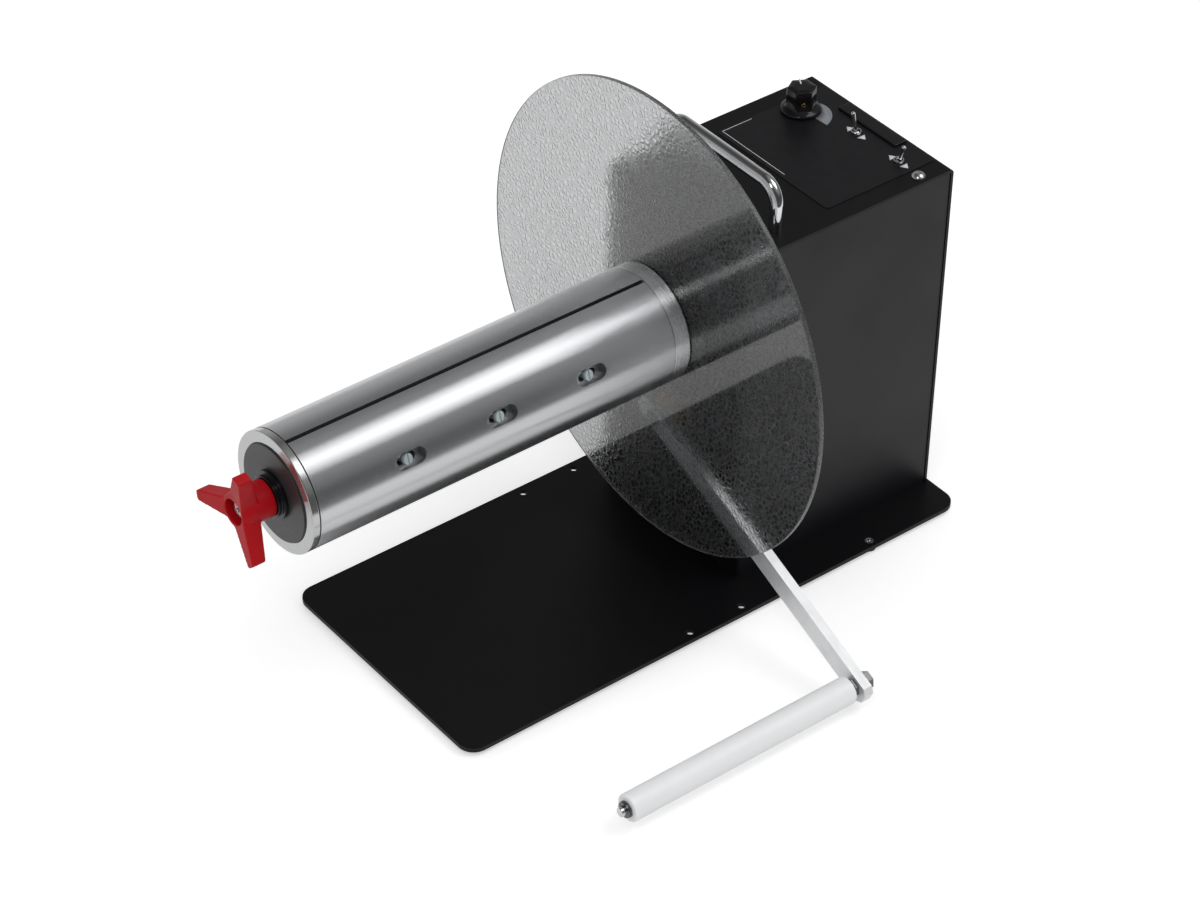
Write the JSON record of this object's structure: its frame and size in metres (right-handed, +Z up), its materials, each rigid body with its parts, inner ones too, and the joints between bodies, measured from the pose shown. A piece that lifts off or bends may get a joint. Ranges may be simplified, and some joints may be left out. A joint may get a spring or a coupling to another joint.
{
  "type": "label unwinder",
  "caption": "Powered label unwinder: expanding core chuck with a wing knob and a clear side flange on a sheet-metal drive box, with a tension arm and roller.",
  "frame": {"origin": "middle of the base plate's underside, 1.5 mm behind the middle of its four mounting holes", "axes": "+X to the right as seen from the chuck's free end, +Y from the chuck's free end to the drive box, +Z up"},
  "size_m": [0.352, 0.4784, 0.326],
  "materials": {
    "black_paint": "fine satin powder coat, near black",
    "panel_paint": "fine satin powder coat, charcoal",
    "turned_aluminium": "turned and brushed along the chuck",
    "bar_aluminium": "satin drawn bar",
    "steel": "zinc-plated steel",
    "dark_steel": "darkened steel",
    "chrome": "bright chrome plating",
    "red_plastic": "moulded, satin",
    "white_plastic": "smooth white acetal",
    "clear_plastic": "clear, glossy in front, pebbled behind",
    "grey_plastic": "machined dark grey plastic",
    "black_plastic": "moulded black plastic",
    "overlay": "fine matte film",
    "rubber": "matte",
    "brass": "turned",
    "board_green": "glass-fibre board"
  },
  "bodies": {
    "frame": {"base_plate": "black_paint", "box_cover": "black_paint", "right_side_panel": "panel_paint", "left_side_panel": "panel_paint", "rubber_feet": "rubber", "rear_foot_screws": "dark_steel", "bearing_block_screws": "dark_steel", "gear_motor": "dark_steel", "motor_screws": "dark_steel", "torque_potentiometer": "dark_steel", "top_screws": "steel", "base_screws": "steel", "front_plate": "steel", "ball_bearings": "steel", "handle_screws": "steel", "toggle_switches": "steel", "motor_bracket": "steel", "stop_pins": "steel", "arm_return_spring": "steel", "bearing_block": "turned_aluminium", "carry_handle": "chrome", "control_overlay": "overlay", "badge_plate": "black_plastic", "power_inlet": "black_plastic", "arm_position_sensor": "black_plastic", "control_board": "board_green", "board_standoffs": "brass", "arm_bush": "brass"},
    "spindle": {"main_shaft": "steel", "bearing_inner_rings": "steel", "flange_screws": "steel", "chuck_rear_ring": "turned_aluminium", "chuck_front_ring": "turned_aluminium", "flange_gasket": "rubber", "flange_disc": "clear_plastic", "flange_hub": "dark_steel", "spindle_gear": "brass", "end_disc": "grey_plastic", "thrust_collar": "black_plastic"},
    "chuck_knob": {"wing_knob": "red_plastic", "draw_screw": "steel", "knob_screw": "steel"},
    "wedge": {"wedge_core": "steel", "cross_pin": "steel", "shell_screws": "steel", "draw_nut": "brass"},
    "shell_1": {"chuck_shell_1": "turned_aluminium"},
    "shell_2": {"chuck_shell_2": "turned_aluminium"},
    "shell_3": {"chuck_shell_3": "turned_aluminium"},
    "arm": {"tension_arm": "bar_aluminium", "arm_shaft": "steel", "roller_shaft": "steel", "arm_fasteners": "steel"},
    "roller": {"guide_roller": "white_plastic"},
    "torque_dial": {"torque_knob": "black_plastic", "torque_knob_shaft": "steel"},
    "direction_lever": {"direction_toggle": "chrome"},
    "torque_lever": {"torque_toggle": "chrome"},
    "pinion": {"motor_pinion": "steel"}
  },
  "joints": [
    {"name": "spindle_turn", "type": "hinge", "parent": "frame", "child": "spindle", "pos_m": [-0.002, 0, 0.1705], "axis": [0, 1, 0], "continuous": true},
    {"name": "pinion_turn", "type": "hinge", "parent": "frame", "child": "pinion", "pos_m": [-0.002, 0, 0.1105], "axis": [0, 1, 0], "continuous": true},
    {"name": "knob_turn", "type": "hinge", "parent": "spindle", "child": "chuck_knob", "pos_m": [-0.002, 0, 0.1705], "axis": [0, 1, 0], "range_deg": [0, 300]},
    {"name": "wedge_slide", "type": "slide", "parent": "spindle", "child": "wedge", "axis": [0, 1, 0], "range_m": [0, 0.005]},
    {"name": "shell_1_slide", "type": "slide", "parent": "spindle", "child": "shell_1", "axis": [0.9304, 0, 0.3665], "range_m": [0, 0.001]},
    {"name": "shell_2_slide", "type": "slide", "parent": "spindle", "child": "shell_2", "axis": [-0.7826, 0, 0.6225], "range_m": [0, 0.001]},
    {"name": "shell_3_slide", "type": "slide", "parent": "spindle", "child": "shell_3", "axis": [-0.1478, 0, -0.989], "range_m": [0, 0.001]},
    {"name": "arm_swing", "type": "hinge", "parent": "frame", "child": "arm", "pos_m": [-0.002, 0, 0.0964], "axis": [0, -1, 0], "range_deg": [0, 40], "stiffness_Nm_per_rad": 0.3, "springref_deg": -28.65},
    {"name": "roller_turn", "type": "hinge", "parent": "arm", "child": "roller", "pos_m": [0.18698, 0, 0.01266], "axis": [0, 1, 0], "continuous": true},
    {"name": "torque_knob_turn", "type": "hinge", "parent": "frame", "child": "torque_dial", "pos_m": [-0.041, 0.1565, 0.241], "axis": [0, 0, -1], "range_deg": [-90, 210]},
    {"name": "direction_switch_flip", "type": "hinge", "parent": "frame", "child": "direction_lever", "pos_m": [-0.0015, 0.1665, 0.2405], "axis": [0, 1, 0], "range_deg": [0, 32]},
    {"name": "torque_switch_flip", "type": "hinge", "parent": "frame", "child": "torque_lever", "pos_m": [0.0367, 0.1665, 0.2405], "axis": [0, -1, 0], "range_deg": [0, 32]}
  ],
  "couplings": [
    {"joint": "pinion_turn", "follows": "spindle_turn", "ratio": -3},
    {"joint": "knob_turn", "follows": "wedge_slide", "rad_per_m": 1047.2},
    {"joint": "shell_1_slide", "follows": "wedge_slide", "ratio": 0.2},
    {"joint": "shell_2_slide", "follows": "wedge_slide", "ratio": 0.2},
    {"joint": "shell_3_slide", "follows": "wedge_slide", "ratio": 0.2}
  ]
}
